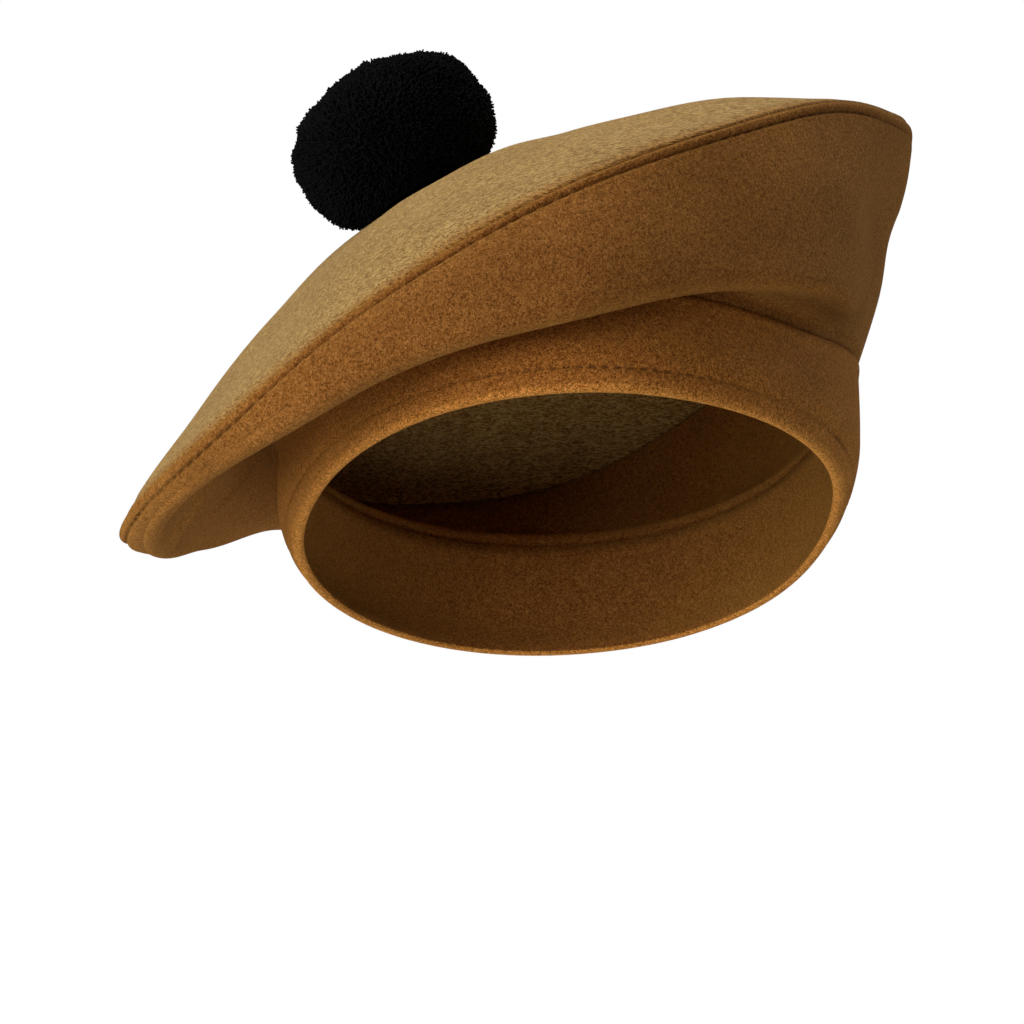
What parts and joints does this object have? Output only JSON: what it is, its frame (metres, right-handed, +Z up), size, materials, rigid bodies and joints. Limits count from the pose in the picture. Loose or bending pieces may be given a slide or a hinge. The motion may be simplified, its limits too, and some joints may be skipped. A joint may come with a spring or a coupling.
{
  "type": "balmoral bonnet",
  "caption": "Soft felt balmoral bonnet: round domed disc crown on a folding side piece, close upright head band, and a dense round pompom off centre as worn.",
  "frame": {"origin": "middle of the head band's lower opening, where the head goes in", "axes": "+Z up as worn, -Y to the front, +X to the wearer's left, the side on which the crown stands up"},
  "size_m": [0.2295, 0.2584, 0.1798],
  "materials": {
    "band_felt": "matte brushed wool felt",
    "side_felt": "matte brushed wool felt",
    "top_felt": "matte brushed wool felt, nap lying across",
    "pompom_wool": "dense clipped wool pile"
  },
  "bodies": {
    "root": {"head_band": "band_felt", "crown_side": "side_felt", "crown_top": "top_felt", "pompom": "pompom_wool"}
  },
  "joints": []
}
